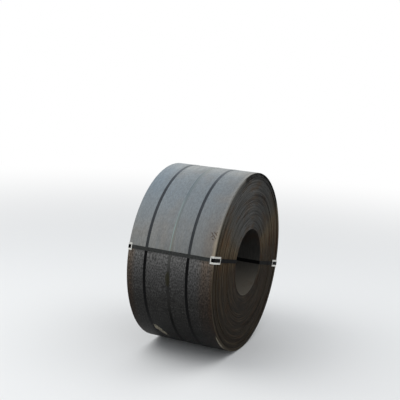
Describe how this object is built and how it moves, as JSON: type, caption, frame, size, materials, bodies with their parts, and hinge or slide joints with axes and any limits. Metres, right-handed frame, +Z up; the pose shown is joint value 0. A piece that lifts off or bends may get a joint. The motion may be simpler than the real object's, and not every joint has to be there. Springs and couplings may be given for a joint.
{
  "type": "steel coil",
  "caption": "Coil of hot-rolled steel strip lying on its barrel, with an open bore, bound by flat steel straps around the barrel and through the bore, with rim guards and crimped seals.",
  "frame": {"origin": "on the floor under the coil's centre", "axes": "+X along the bore to the coil's right end, +Y away from the front, +Z up"},
  "size_m": [1.0166, 2.0525, 2.0524],
  "materials": {
    "mill_scale_steel": "satin",
    "bare_strap": "satin",
    "black_strap": "semi-gloss",
    "guard_plate": "matt",
    "bare_seal": "satin",
    "black_seal": "semi-gloss"
  },
  "bodies": {
    "root": {"coil": "mill_scale_steel", "ring_strap_middle": "bare_strap", "ring_strap_left": "black_strap", "ring_strap_right": "black_strap", "eye_strap_front": "black_strap", "eye_strap_back": "black_strap", "rim_guard_front_left": "guard_plate", "rim_guard_front_right": "guard_plate", "rim_guard_back_left": "guard_plate", "rim_guard_back_right": "guard_plate", "seal_ring_middle": "bare_seal", "seal_ring_left": "black_seal", "seal_ring_right": "black_seal", "seal_eye_front": "black_seal", "seal_eye_back": "black_seal"}
  },
  "joints": []
}
